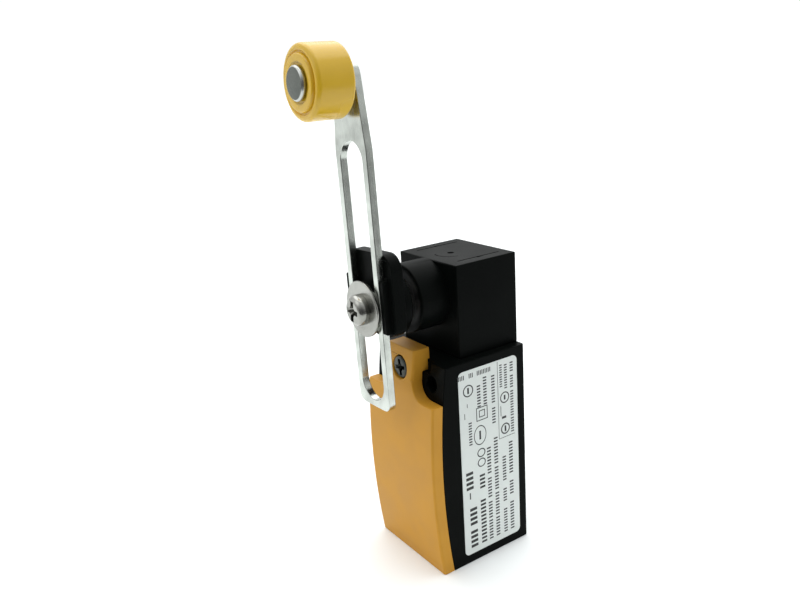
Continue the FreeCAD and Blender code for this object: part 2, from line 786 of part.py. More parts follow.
# ---- write every piece ------------------------------------------------------------------------------------
closed_bridge, open_bridge = bridge_places()
pieces = {
    "housing": housing(),
    "front_cover": front_cover(),
    "cover_gasket": cover_gasket(),
    "cover_screw": cover_screw(),
    "rating_label": rating_label(),
    "head_housing": head_housing(),
    "head_base": head_base(),
    "head_clip": head_clip(),
    "shaft_bushing": shaft_bushing(),
    "shaft_seal": shaft_seal(),
    "shaft": lean(shaft()),
    "shaft_clip": lean(shaft_clip()),
    "cam": lean(cam()),
    "push_rod": push_rod(),
    "return_spring": return_spring(),
    "contact_block": contact_block(),
    "contact_carrier": contact_carrier(),
    "nc_bridge": bridge(closed_bridge),
    "no_bridge": bridge(open_bridge),
    "contact_springs": contact_springs(),
    "nc_contacts": nc_contacts(),
    "no_contacts": no_contacts(),
    "terminal_washers": terminal_washers(),
    "terminal_screws": terminal_screws(),
    "block_screws": block_screws(),
    "hub": hub(),
    "clamp_washer": clamp_washer(),
    "spring_disc": spring_disc(),
    "clamp_screw": clamp_screw(),
    "slotted_lever": slotted_lever(),
    "roller_pin": roller_pin(),
    "roller_washer": roller_washer(),
    "roller": roller(),
}

os.makedirs("parts", exist_ok=True)
for name, shape in pieces.items():
    shape.exportStep(os.path.join("parts", name + ".step"))
    bounds = shape.BoundBox
    print(f"{name:18s} {len(shape.Solids)} solid(s) {shape.Volume:9.1f} mm3 "
          f"{bounds.XLength:6.2f} x {bounds.YLength:6.2f} x {bounds.ZLength:6.2f} valid {shape.isValid()}")
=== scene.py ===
# %% [markdown]
# # A limit switch with a roller lever
# A limit switch tells a machine that something has arrived: a cam on the machine pushes the roller, the lever turns a
# shaft, and contacts inside the case open. The CAD model already holds every piece at its exact size, so this lesson
# remodels the pieces that show, with the soft edges, grooves and recesses of the real thing, and paints all the rest.
# All sizes in this file are in millimetres, and MM turns them into Blender's metres.

# %% Load the CAD model
import json
import math

import bmesh
import bpy
from mathutils import Matrix, Vector


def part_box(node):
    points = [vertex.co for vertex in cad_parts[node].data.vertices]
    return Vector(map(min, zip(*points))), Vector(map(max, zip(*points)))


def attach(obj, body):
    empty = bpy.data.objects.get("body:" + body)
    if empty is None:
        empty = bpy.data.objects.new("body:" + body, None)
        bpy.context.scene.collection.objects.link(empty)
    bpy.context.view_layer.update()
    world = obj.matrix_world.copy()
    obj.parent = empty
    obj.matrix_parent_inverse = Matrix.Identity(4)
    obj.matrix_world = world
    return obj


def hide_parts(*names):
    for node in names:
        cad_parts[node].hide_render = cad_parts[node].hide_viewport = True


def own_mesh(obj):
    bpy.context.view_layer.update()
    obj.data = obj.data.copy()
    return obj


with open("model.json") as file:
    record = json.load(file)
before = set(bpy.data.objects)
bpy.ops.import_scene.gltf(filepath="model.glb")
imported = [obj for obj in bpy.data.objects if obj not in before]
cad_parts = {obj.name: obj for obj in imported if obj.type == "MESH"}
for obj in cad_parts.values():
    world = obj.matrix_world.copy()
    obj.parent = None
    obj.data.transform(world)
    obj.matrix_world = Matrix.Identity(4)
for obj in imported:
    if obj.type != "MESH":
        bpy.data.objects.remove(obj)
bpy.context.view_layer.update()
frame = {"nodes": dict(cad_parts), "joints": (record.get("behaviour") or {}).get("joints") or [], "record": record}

MM = 0.001

# %% [markdown]
# ## Where things are
# The lever is clamped a little to the left of upright. Modelling a tilted piece is awkward, so each one is drawn
# upright round the shaft and tilted at the very end. The tilt comes from the CAD model's own joints: it is the angle
# of the line from the shaft to the roller's pin.

# %% Shaft, roller and tilt
joints = {joint["name"]: joint for joint in frame["joints"]}
shaft_x, _, shaft_z = (v / MM for v in joints["lever_swing"]["pos_m"])
pin_x, _, pin_z = (v / MM for v in joints["roller_spin"]["pos_m"])
tilt = math.atan2(pin_x - shaft_x, pin_z - shaft_z)
roller_z = shaft_z + math.hypot(pin_x - shaft_x, pin_z - shaft_z)


def limits(node):
    """Lowest and highest corner of a CAD node, in millimetres."""
    low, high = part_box(node)
    return low / MM, high / MM


print(f"shaft at z {shaft_z:.1f}, roller {roller_z - shaft_z:.1f} above it, tilt {math.degrees(tilt):.2f} degrees")

# %% [markdown]
# ## Selecting by place
# Blender's operators act on whatever is selected, and freshly loaded objects are all selected. So every step starts
# by deselecting everything. In edit mode we then pick vertices, edges or faces with a small test on where they are,
# which is the scripted version of clicking on them.

# %% Helpers for selecting
def deselect():
    if bpy.context.mode != "OBJECT":
        bpy.ops.object.mode_set(mode="OBJECT")
    bpy.ops.object.select_all(action="DESELECT")


def only(piece):
    deselect()
    piece.select_set(True)
    bpy.context.view_layer.objects.active = piece


def middle(element):
    """Middle of a vertex, edge or face, in millimetres."""
    corners = [element.co] if isinstance(element, bmesh.types.BMVert) else [v.co for v in element.verts]
    return sum(corners, Vector()) / len(corners) / MM


def edit(piece, kind="VERT", test=None):
    """Open a piece in edit mode with only the elements that pass the test selected, or all of them."""
    only(piece)
    bpy.ops.object.mode_set(mode="EDIT")
    bpy.ops.mesh.select_mode(type=kind)
    bpy.ops.mesh.select_all(action="SELECT" if test is None else "DESELECT")
    if test is None:
        return
    mesh = bmesh.from_edit_mesh(piece.data)
    for element in {"VERT": mesh.verts, "EDGE": mesh.edges, "FACE": mesh.faces}[kind]:
        element.select_set(bool(test(middle(element), element)))
    mesh.select_flush_mode()
    bmesh.update_edit_mesh(piece.data)


def settle(piece):
    """Move a piece's place, turn and scale into its mesh, so that its object sits at the origin."""
    only(piece)
    bpy.ops.object.transform_apply(location=True, rotation=True, scale=True)
    return piece


# %% [markdown]
# ## Tools of the workshop
# Most pieces of a switch are either cut from plate or turned on a lathe. Both start from one vertex that is extruded
# from corner to corner. For a plate the line is filled and pulled to its thickness, and for a turned piece it is spun
# round the axis. A corner is rounded with a vertex bevel before that, so the arc is exact. Spin and extrude can leave
# a shape inside out, so the normals are recalculated.

# %% Drawing a line, a plate and a turned piece
ALONG = {"X": lambda a, b, h: (h, a, b), "Y": lambda a, b, h: (a, h, b), "Z": lambda a, b, h: (a, b, h)}
TURN = {"X": (0, math.pi / 2, 0), "Y": (math.pi / 2, 0, 0), "Z": (0, 0, 0)}


def draw(name, points):
    """One vertex extruded from point to point."""
    points = [Vector(point) * MM for point in points]
    deselect()
    bpy.ops.mesh.primitive_plane_add(size=MM, location=points[0])
    piece = settle(bpy.context.active_object)
    piece.name = piece.data.name = name
    edit(piece)
    bpy.ops.mesh.merge(type="CENTER")
    for start, end in zip(points, points[1:]):
        bpy.ops.mesh.extrude_region_move(TRANSFORM_OT_translate={"value": end - start})
    return piece


def round_points(piece, points, rounds, segments):
    """Round some corners of a line. rounds gives the radius of each, by the corner's number."""
    for index, radius in rounds.items():
        place = Vector(points[index])
        edit(piece, "VERT", lambda at, _: (at - place).length < 1e-3)
        bpy.ops.mesh.bevel(offset=radius * MM, segments=segments, affect="VERTICES", clamp_overlap=False)


def outward(piece):
    """Merge what lies on the same spot and point every face outwards."""
    edit(piece)
    bpy.ops.mesh.remove_doubles(threshold=0.002 * MM)
    bpy.ops.mesh.normals_make_consistent(inside=False)
    deselect()
    return piece


def plate(name, corners, low, high, axis="Y", rounds={}, segments=12):
    """A flat outline pulled from low to high along an axis."""
    points = [ALONG[axis](a, b, low) for a, b in corners]
    piece = draw(name, points)
    edit(piece)
    bpy.ops.mesh.edge_face_add()
    round_points(piece, points, rounds, segments)
    edit(piece)
    pull = Vector(ALONG[axis](0, 0, high - low)) * MM
    bpy.ops.mesh.extrude_region_move(TRANSFORM_OT_translate={"value": pull})
    return outward(piece)


def turned(name, centre, outline, axis="Y", rounds={}, steps=96):
    """A line of (place along the axis, radius) points spun round the axis, and closed if it starts off the axis."""
    points = [ALONG[axis](centre[0] + radius, centre[1], along) for along, radius in outline]
    piece = draw(name, points)
    if outline[0][1] > 0:
        ends = [Vector(points[0]), Vector(points[-1])]
        edit(piece, "VERT", lambda at, _: min((at - end).length for end in ends) < 1e-3)
        bpy.ops.mesh.edge_face_add()
    round_points(piece, points, rounds, 6)
    edit(piece)
    bpy.ops.mesh.spin(steps=steps, angle=2 * math.pi, center=Vector(ALONG[axis](*centre, 0)) * MM,
                      axis=ALONG[axis](0, 0, 1))
    return outward(piece)


def block(name, x0, x1, y0, y1, z0, z1):
    """A cube stretched between two places on each axis."""
    deselect()
    middle_point = Vector((x0 + x1, y0 + y1, z0 + z1)) / 2 * MM
    bpy.ops.mesh.primitive_cube_add(size=1, location=middle_point,
                                    scale=Vector((x1 - x0, y1 - y0, z1 - z0)) * MM)
    piece = settle(bpy.context.active_object)
    piece.name = piece.data.name = name
    return piece


def rod(name, radius, centre, low, high, axis="Y", sides=96):
    """A cylinder along an axis, from low to high."""
    deselect()
    place = Vector(ALONG[axis](*centre, (low + high) / 2)) * MM
    bpy.ops.mesh.primitive_cylinder_add(vertices=sides, radius=radius * MM, depth=(high - low) * MM,
                                        location=place, rotation=TURN[axis])
    piece = settle(bpy.context.active_object)
    piece.name = piece.data.name = name
    return piece


# %% [markdown]
# ## Modifiers for the fine work
# A Boolean modifier cuts one shape from another, a Bevel modifier rounds every edge that is sharper than an angle, and
# Weighted Normal keeps the big flat faces looking flat beside the small rounded ones. Each is applied at once, so the
# finished mesh holds the real shape.

# %% Cutting, joining and softening
def modify(piece, kind, **settings):
    """Add a modifier with these settings and apply it at once."""
    only(piece)
    modifier = piece.modifiers.new(kind.title(), kind)
    for name, value in settings.items():
        setattr(modifier, name, value)
    bpy.ops.object.modifier_apply(modifier=modifier.name)


def combine(piece, tool, operation):
    """Run one Boolean with a tool, and throw the tool away."""
    modify(piece, "BOOLEAN", object=tool, operation=operation, solver="EXACT")
    bpy.data.objects.remove(tool)
    edit(piece)
    bpy.ops.mesh.remove_doubles(threshold=0.001 * MM)
    deselect()


def carve(piece, *tools):
    for tool in tools:
        combine(piece, tool, "DIFFERENCE")
    return piece


def weld(piece, *others):
    for other in others:
        combine(piece, other, "UNION")
    return piece


def smooth(piece, sharper_than=38):
    """Smooth shading that stays crisp at edges sharper than an angle and flat on flat faces."""
    only(piece)
    bpy.ops.object.shade_smooth_by_angle(angle=math.radians(sharper_than))
    modify(piece, "WEIGHTED_NORMAL", keep_sharp=True, weight=80)
    return piece


def soften(piece, width, segments=3, sharper_than=38):
    """Round every edge that is sharper than an angle, then shade the piece smooth."""
    modify(piece, "BEVEL", width=width * MM, segments=segments, limit_method="ANGLE",
           angle_limit=math.radians(sharper_than), use_clamp_overlap=False, miter_outer="MITER_ARC")
    return smooth(piece)


def lean(piece):
    """Tilt an upright piece round the shaft, inside its mesh."""
    place = Matrix.Translation(Vector((shaft_x, 0, shaft_z)) * MM)
    piece.data.transform(place @ Matrix.Rotation(tilt, 4, "Y") @ place.inverted())
    piece.data.update()
    return piece


def report(piece):
    size = [round(v / MM, 2) for v in piece.dimensions]
    print(f"{piece.name}: {len(piece.data.polygons)} faces, {size} mm")


# %% [markdown]
# ## The bowed front
# The front of the switch isn't flat: from top to bottom it follows a very large circle. Instead of bending a plate,
# both the cover and the case are cut with the same long cylinder, so they are certain to fit each other.

# %% The bow
BOW_RADIUS = 210.0
BOW_HEIGHT = -25.0
FRONT = -33.5
COVER_DEPTH = 3.5


def bow_tool(depth):
    """The cylinder that bounds what lies deeper than this behind the bowed front."""
    centre = (FRONT + BOW_RADIUS, BOW_HEIGHT)
    return rod("bow_tool", BOW_RADIUS - depth, centre, -30, 30, axis="X", sides=720)


def bow_y(z, depth=0.0):
    """How far forward the bowed front is at a height."""
    return FRONT + BOW_RADIUS - math.sqrt((BOW_RADIUS - depth) ** 2 - (z - BOW_HEIGHT) ** 2)


print(f"the bow falls back {bow_y(5.5) - FRONT:.2f} mm at the top of the case")

# %% [markdown]
# ## The amber cover
# The cover is one moulding: a bowed panel, two round scallops that leave room for the fixing screws, and between them
# a thick tongue that takes the cover screw. We draw its outline, round the two inner corners into scallops, and pull
# it to a slab. Two cylinders give it its bow, and a box under the tongue keeps that part thick.

# %% Cover: outline, bow and tongue
CASE_HALF = 15.5
CASE_LOW, CASE_HIGH = -55.5, 5.5
NECK_HALF = 6.0
SHOULDER = -4.5
SCALLOP = 4.7
TONGUE_TOP = 8.7
TONGUE_LOW = 2.3
TONGUE_BACK = -25.6

cover = plate("cover_moulding",
              [(-CASE_HALF, CASE_LOW), (CASE_HALF, CASE_LOW), (CASE_HALF, SHOULDER), (NECK_HALF, SHOULDER),
               (NECK_HALF, TONGUE_TOP), (-NECK_HALF, TONGUE_TOP), (-NECK_HALF, SHOULDER),
               (-CASE_HALF, SHOULDER)],
              FRONT - 1, TONGUE_BACK, rounds={3: SCALLOP, 6: SCALLOP})
behind = bow_tool(COVER_DEPTH)
carve(behind, block("tongue_room", -20, 20, FRONT - 4, -20, TONGUE_LOW, 20))
combine(cover, bow_tool(0), "INTERSECT")
carve(cover, behind)
report(cover)

# %% [markdown]
# ### Larger radii on the upright edges
# The edges that run up the front of the cover are rounder than the rest. They are picked by three tests, which are
# that an edge rises steeply, lies on the bowed front, and is on a side of the panel or of the tongue.

# %% Cover: large radii on the upright edges
def front_upright(at, edge):
    rise = abs(edge.verts[0].co.z - edge.verts[1].co.z)
    on_side = abs(at.x) > CASE_HALF - 0.01 and at.z < SHOULDER
    on_tongue = abs(abs(at.x) - NECK_HALF) < 0.01 and at.z > 0.3
    return rise > 0.9 * edge.calc_length() and at.y < bow_y(at.z) + 0.05 and (on_side or on_tongue)


edit(cover, "EDGE", front_upright)
bpy.ops.mesh.bevel(offset=0.7 * MM, segments=4, clamp_overlap=False)
report(cover)

# %% [markdown]
# ### Hollowing the cover
# Seen from outside the cover looks solid, but it is a shell. The inside is a box, bowed like the front and one wall
# behind it. The cover screw sits in a stepped hole, which one turned cutter makes in a single cut.

# %% Cover: inside, screw seat and soft edges
COVER_WALL = 1.9
RIM = 1.5
COVER_SCREW_Z = 2.7
HEAD_ROOM, SHANK_ROOM = 3.3, 1.9
screw_face = bow_y(COVER_SCREW_Z)
screw_seat = screw_face + 1.8

hollow = block("hollow", RIM - CASE_HALF, CASE_HALF - RIM, FRONT - 1, -20, CASE_LOW + RIM, SHOULDER - RIM)
combine(hollow, bow_tool(COVER_WALL), "INTERSECT")
seat = turned("screw_seat", (0, COVER_SCREW_Z),
              [(screw_face - 2, 0), (screw_face - 2, HEAD_ROOM), (screw_seat, HEAD_ROOM), (screw_seat, SHANK_ROOM),
               (-20, SHANK_ROOM), (-20, 0)], steps=64)
carve(cover, hollow, seat)
soften(cover, 0.28)
report(cover)

# %% [markdown]
# ## The black case
# The case is a deep box, open at the front under the cover. Its outside is softened before any hole is cut, because a
# bevel works best on a simple mesh. The holes are cut afterwards with turned tools whose flared mouths leave a small
# chamfer, as a mould does. Beside the tongue there is a small pocket that lets the tongue's side show.

# %% Case: outer shape
case = block("case_moulding", -CASE_HALF, CASE_HALF, FRONT, 0, CASE_LOW, CASE_HIGH)
edit(case, "EDGE", lambda at, _: at.y > -0.01 and abs(at.x) > CASE_HALF - 0.01)
bpy.ops.mesh.bevel(offset=0.8 * MM, segments=4)
combine(case, bow_tool(COVER_DEPTH), "INTERSECT")
soften(case, 0.22)
report(case)

# %% [markdown]
# ### Room inside the case
# Everything that goes into the case needs its own hole: the tongue, the contacts, the head's round foot, the push rod,
# the clip that holds the head, and the cover screw. The two fixing holes go right through, with flared mouths.

# %% Case: room for the tongue, the contacts and the head
FIXING_HALF = 10.0
FIXING_HOLE, FIXING_MOUTH = 2.15, 2.5
CONDUIT_Y = -15.0
HEAD_Y = -10.3

tools = [
    block("tongue_seat", -6.05, 6.05, -40, TONGUE_BACK + 0.05, TONGUE_LOW - 0.05, 9),
    block("cavity", -12.5, 12.5, -40, -2.5, -45.5, -8),
    rod("head_seat", 8.05, (0, HEAD_Y), 2.5, 7, axis="Z"),
    rod("rod_guide", 3.05, (0, HEAD_Y), -9, 7, axis="Z"),
    block("clip_slit", -9, 9, HEAD_Y, 1, 3.4, 4.4),
    rod("cover_screw_hole", 1.75, (0, COVER_SCREW_Z), -40, bow_y(COVER_SCREW_Z) + 10.8),
]
face_y = bow_y(0, COVER_DEPTH)
for side in (-1, 1):
    x0, x1 = sorted((0, side * 9.5))
    tools.append(block("pocket", x0, x1, -40, TONGUE_BACK - 0.8, TONGUE_LOW - 0.05, 9))
    tools.append(turned("fixing_hole", (side * FIXING_HALF, 0),
                        [(-40, 0), (-40, FIXING_MOUTH), (face_y - 0.01, FIXING_MOUTH), (face_y + 0.35, FIXING_HOLE),
                         (-0.35, FIXING_HOLE), (0.01, FIXING_MOUTH), (1, FIXING_MOUTH), (1, 0)], steps=64))
carve(case, *tools)
report(case)

# %% [markdown]
# ### The conduit thread
# The cable gland screws into the underside. A real thread is a helix, but rings of the same pitch look the same at
# this size and make a cleaner cut. One zigzag line, spun round the hole's axis, cuts the hole and its thread at once.

# %% Case: threaded conduit entry
PITCH = 1.5
THREADS = 6
crest, root = 9.19, 9.95
zigzag = [(CASE_LOW - 1, 0), (CASE_LOW - 1, root + 0.9), (CASE_LOW + 0.3, root)]
for turn in range(THREADS):
    start = CASE_LOW + 0.6 + turn * PITCH
    zigzag += [(start, crest), (start + 0.2 * PITCH, crest), (start + 0.55 * PITCH, root),
               (start + 0.65 * PITCH, root)]
zigzag += [(CASE_LOW + 0.6 + THREADS * PITCH, crest), (-45, crest), (-45, 0)]
carve(case, turned("conduit_thread", (0, CONDUIT_Y), zigzag, axis="Z", steps=72))
smooth(case)
report(case)

# %% [markdown]
# ## The turning head
# The head is a crisp block with a round boss for the shaft. The block is a cube with softened edges, and the boss is
# turned and welded on.

# %% Head: block and boss
head_low, head_high = limits("head_housing")
BOSS_FRONT = head_low.y
HEAD_TOP = head_high.z
HEAD_HALF = 12.7
HEAD_FRONT = -20.6
BOSS_RADIUS = 9.5

head = block("head_moulding", -HEAD_HALF, HEAD_HALF, HEAD_FRONT, 0, CASE_HIGH, HEAD_TOP)
soften(head, 0.3)
boss = turned("boss", (0, shaft_z),
              [(-18, 0), (-18, BOSS_RADIUS), (BOSS_FRONT, BOSS_RADIUS), (BOSS_FRONT, 0)], rounds={2: 0.45})
weld(head, boss)
report(head)

# %% [markdown]
# ### Marks and bores of the head
# On the head's top the mould leaves two long grooves with a small notch half-way, a short arc and a dimple. They are
# cut with thin blocks, a curved strip and a cone, together with the bores for bushing, seal and shaft.

# %% Head: grooves, dimple and bores
def arc_strip(name, centre, radius, width, start, end, low, high):
    """A short curved bar, drawn as a plate with many corners."""
    turns = [math.radians(start + (end - start) * step / 24) for step in range(25)]
    outer = [(centre[0] + (radius + width / 2) * math.cos(t), centre[1] + (radius + width / 2) * math.sin(t))
             for t in turns]
    inner = [(centre[0] + (radius - width / 2) * math.cos(t), centre[1] + (radius - width / 2) * math.sin(t))
             for t in reversed(turns)]
    return plate(name, outer + inner, low, high, axis="Z")


DIMPLE = (0.1, -12.4)
tools = [
    block("head_cavity", -9.5, 9.5, -17.4, -3.5, CASE_HIGH - 1, HEAD_TOP - 1.8),
    rod("bushing_bore", 5.0, (0, shaft_z), -40, -16.4),
    rod("seal_bore", 6.5, (0, shaft_z), -40, BOSS_FRONT + 2.5),
    rod("journal_bore", 2.85, (0, shaft_z), -4.5, -1.4),
    turned("dimple", DIMPLE, [(HEAD_TOP - 0.7, 0), (HEAD_TOP - 0.7, 0.75), (HEAD_TOP + 0.5, 1.15),
                              (HEAD_TOP + 0.5, 0)], axis="Z", steps=40),
    arc_strip("arc_groove", DIMPLE, 4.5, 0.32, -112, -12, HEAD_TOP - 0.22, HEAD_TOP + 1),
]
for side in (-1, 1):
    x = side * 9.1
    tools.append(block("groove", x - 0.24, x + 0.24, -17.2, -2.8, HEAD_TOP - 0.4, HEAD_TOP + 1))
    tools.append(block("groove_notch", x - 0.24 - 0.3 * (side < 0), x + 0.24 + 0.3 * (side > 0), -10.9, -9.3,
                       HEAD_TOP - 0.45, HEAD_TOP + 1))
carve(head, *tools)
smooth(head)
report(head)

# %% [markdown]
# ## The hub
# The hub sits on the square end of the shaft and holds the lever. Seen from the front it is nearly a square, with
# large radii on its two upper corners and small ones below. Behind it is a round collar.

# %% Hub: plate and collar
HUB_BACK, HUB_FRONT = -35.4, -38.8
HUB_HALF = 10.6
HUB_LOW, HUB_TOP = shaft_z - 6.0, shaft_z + 14.7
COLLAR_RADIUS = 9.2
COLLAR_BACK = -31.5
LEVER_FRONT, LEVER_BACK = -40.92, -38.82

hub = plate("hub_moulding",
            [(-HUB_HALF, HUB_LOW), (HUB_HALF, HUB_LOW), (HUB_HALF, HUB_TOP), (-HUB_HALF, HUB_TOP)],
            HUB_FRONT, HUB_BACK, rounds={0: 1.5, 1: 1.5, 2: 4.5, 3: 4.5}, segments=16)
edit(hub, "EDGE", lambda at, edge: at.y < HUB_FRONT + 0.01 and at.z > HUB_TOP - 0.01 and abs(at.x) < 1)
bpy.ops.mesh.bevel(offset=1.2 * MM, segments=1, clamp_overlap=False)
collar = turned("collar", (0, shaft_z),
                [(HUB_BACK - 1, 0), (HUB_BACK - 1, COLLAR_RADIUS), (COLLAR_BACK - 1, COLLAR_RADIUS),
                 (COLLAR_BACK, COLLAR_RADIUS - 1), (COLLAR_BACK, 0)])
weld(hub, collar)
report(hub)

# %% [markdown]
# ### Cheeks of the hub
# Two cheeks reach past the lever's sides so that it can't turn, and above each cheek a half-round notch lets the
# lever's edge show. Each cheek gets its notch before it is welded on, and the softening comes last of all.

# %% Hub: cheeks, square hole and soft edges
CHEEK_INNER = 7.45
CHEEK_OUTER = 8.9
CHEEK_LOW, CHEEK_TOP = shaft_z - 5.8, shaft_z + 8.2
NOTCH_RADIUS = 2.9
SHAFT_RADIUS = 3.5
SQUARE_HALF = 2.8
notch_z = CHEEK_TOP + NOTCH_RADIUS
for side in (-1, 1):
    x0, x1 = sorted((side * CHEEK_INNER, side * CHEEK_OUTER))
    cheek = plate("cheek", [(HUB_FRONT + 0.5, CHEEK_LOW), (LEVER_FRONT + 0.3, CHEEK_LOW),
                            (LEVER_FRONT + 0.3, CHEEK_TOP), (HUB_FRONT - 0.6, CHEEK_TOP),
                            (HUB_FRONT - 0.6, HUB_TOP - 1.2), (HUB_FRONT + 0.5, HUB_TOP - 1.2)],
                  x0, x1, axis="X", rounds={1: 0.5, 2: 0.4, 4: 0.3}, segments=4)
    carve(cheek, rod("notch", NOTCH_RADIUS, (HUB_FRONT - 2.1, notch_z), -20, 20, axis="X", sides=64))
    weld(hub, cheek)
square = rod("shaft_hole", SHAFT_RADIUS, (0, shaft_z), HUB_FRONT - 1, COLLAR_BACK + 1, sides=48)
combine(square, block("square", -SQUARE_HALF, SQUARE_HALF, -50, -20, shaft_z - SQUARE_HALF, shaft_z + SQUARE_HALF),
        "INTERSECT")
carve(hub, square)
soften(hub, 0.2)
lean(hub)
report(hub)

# %% [markdown]
# ## The slotted lever
# The lever is stamped from 2.1 mm steel strip. Its outline is a long plate that narrows to a round end, and the points
# of that end start where the straight taper touches the circle. The slot is a plate with four corners rounded by
# almost half its width. A plated edge catches the light, so a fine bevel matters more here than anywhere else.

# %% Lever
LEVER_HALF = 7.35
TAPER_START = shaft_z + 40.6
LEVER_LOW = shaft_z - 27.5
END_RADIUS = 5.1
SLOT_HALF = 5.2
SLOT_LOW, SLOT_HIGH = shaft_z - 25.6, shaft_z + 42.8

run, rise = -LEVER_HALF, roller_z - TAPER_START
distance = math.hypot(run, rise)
touch_turn = math.atan2(rise, run) - math.asin(END_RADIUS / distance)
touch_length = math.sqrt(distance ** 2 - END_RADIUS ** 2)
touch_x = LEVER_HALF + touch_length * math.cos(touch_turn)
touch_z = TAPER_START + touch_length * math.sin(touch_turn)
first_turn = math.atan2(touch_z - roller_z, touch_x)
round_end = [(END_RADIUS * math.cos(turn), roller_z + END_RADIUS * math.sin(turn))
             for turn in (first_turn + (math.pi - 2 * first_turn) * step / 40 for step in range(41))]

lever = plate("lever_strip",
              [(-LEVER_HALF, LEVER_LOW), (LEVER_HALF, LEVER_LOW), (LEVER_HALF, TAPER_START), *round_end,
               (-LEVER_HALF, TAPER_START)],
              LEVER_FRONT, LEVER_BACK, rounds={0: 2.6, 1: 2.6}, segments=10)
slot = plate("slot", [(-SLOT_HALF, SLOT_LOW), (SLOT_HALF, SLOT_LOW), (SLOT_HALF, SLOT_HIGH),
                      (-SLOT_HALF, SLOT_HIGH)], LEVER_FRONT - 1, LEVER_BACK + 1,
             rounds={corner: SLOT_HALF - 0.005 for corner in range(4)}, segments=20)
carve(lever, slot, rod("pin_hole", 2.5, (0, roller_z), LEVER_FRONT - 1, LEVER_BACK + 1))
soften(lever, 0.2)
lean(lever)
report(lever)

# %% [markdown]
# ## Washers and screws
# The clamp is a pan-head screw with a washer and a slightly smaller disc under it. Each is turned from a short line.
# The cross recess is a pair of tapered blades with a cone between them: one blade is a block whose inner end is
# scaled down in edit mode, and the other is a copy of it turned by a right angle.

# %% A cutter for cross recesses
def cross_recess(x, z, face, reach, width, depth, turn=0.0):
    """A tapered cross, its mouth at the face of a screw's head."""
    blade = block("blade", x - reach, x + reach, face - 0.3, face + depth, z - width / 2, z + width / 2)
    edit(blade, "FACE", lambda at, _: at.y > face + depth - 0.01)
    bpy.ops.transform.resize(value=(0.45, 1, 0.55), center_override=Vector((x, face + depth, z)) * MM)
    other = blade.copy()
    other.data = blade.data.copy()
    bpy.context.scene.collection.objects.link(other)
    place = Matrix.Translation(Vector((x, 0, z)) * MM)
    other.data.transform(place @ Matrix.Rotation(math.pi / 2, 4, "Y") @ place.inverted())
    core = turned("core", (x, z), [(face - 0.3, 0), (face - 0.3, reach * 0.55), (face + depth * 1.15, reach * 0.2),
                                   (face + depth * 1.15, 0)], steps=32)
    weld(blade, other, core)
    blade.data.transform(place @ Matrix.Rotation(math.radians(turn), 4, "Y") @ place.inverted())
    return blade


# %% Clamp screw, washer and disc
HEAD_FACE, WASHER_FACE, CLAMP_END = -45.04, -42.14, -30.14
HEAD_RADIUS, SHANK_RADIUS = 4.1, 2.0
WASHER_RADIUS, DISC_RADIUS = 7.5, 7.3
DISC_FACE, DISC_BACK = WASHER_FACE + 0.6, WASHER_FACE + 1.2

clamp_screw = turned("clamp_screw_turned", (0, shaft_z),
                     [(HEAD_FACE, 0), (HEAD_FACE, HEAD_RADIUS), (WASHER_FACE, HEAD_RADIUS),
                      (WASHER_FACE, SHANK_RADIUS), (CLAMP_END, SHANK_RADIUS), (CLAMP_END, 0)],
                     rounds={1: 1.75, 2: 0.12})
carve(clamp_screw, cross_recess(0, shaft_z, HEAD_FACE, 2.75, 1.4, 1.7, turn=8))
lean(smooth(clamp_screw, 30))
washer = smooth(turned("clamp_washer_turned", (0, shaft_z),
                       [(WASHER_FACE, SHANK_RADIUS), (WASHER_FACE, WASHER_RADIUS), (DISC_FACE, WASHER_RADIUS),
                        (DISC_FACE, SHANK_RADIUS)], rounds={1: 0.22, 2: 0.1}, steps=128), 30)
disc = smooth(turned("spring_disc_turned", (0, shaft_z),
                     [(DISC_FACE, SHANK_RADIUS), (DISC_FACE, 6.7), (WASHER_FACE + 0.9, DISC_RADIUS),
                      (DISC_BACK, DISC_RADIUS), (DISC_BACK, SHANK_RADIUS)], rounds={3: 0.15}, steps=128), 30)
for piece in (clamp_screw, washer, disc):
    report(piece)

# %% Cover screw
cover_head = screw_face + 0.15
screw_end = screw_face + 10.8
COVER_HEAD_RADIUS, COVER_SHANK_RADIUS = 3.1, 1.75

cover_screw = turned("cover_screw_turned", (0, COVER_SCREW_Z),
                     [(cover_head, 0), (cover_head, COVER_HEAD_RADIUS), (screw_seat, COVER_HEAD_RADIUS),
                      (screw_seat, COVER_SHANK_RADIUS), (screw_end, COVER_SHANK_RADIUS), (screw_end, 0)],
                     rounds={1: 0.5, 2: 0.1}, steps=64)
carve(cover_screw, cross_recess(0, COVER_SCREW_Z, cover_head, 2.35, 1.15, 1.4, turn=-8))
smooth(cover_screw, 30)
report(cover_screw)

# %% [markdown]
# ## The roller
# The roller is turned from yellow plastic: a wide tread with rounded rims, and round the pin a raised face that keeps
# the rim off whatever rubs past. One line describes it all, with the rims as rounded corners of that line. The pin is
# a steel rivet with a turned chamfer on its head, and the chamfer's highlight is painted in the pin's finish.

# %% Roller, pin and spacer
FACE = -53.17
ROLLER_RADIUS = 9.0
BORE = 2.55
PIN_HEAD, PIN_SHANK, PIN_TAIL = 4.15, 2.5, 3.4
TREAD_FRONT = FACE + 0.5
TREAD_BACK = LEVER_FRONT - 1.65
SPACER_FACE = LEVER_FRONT - 0.75

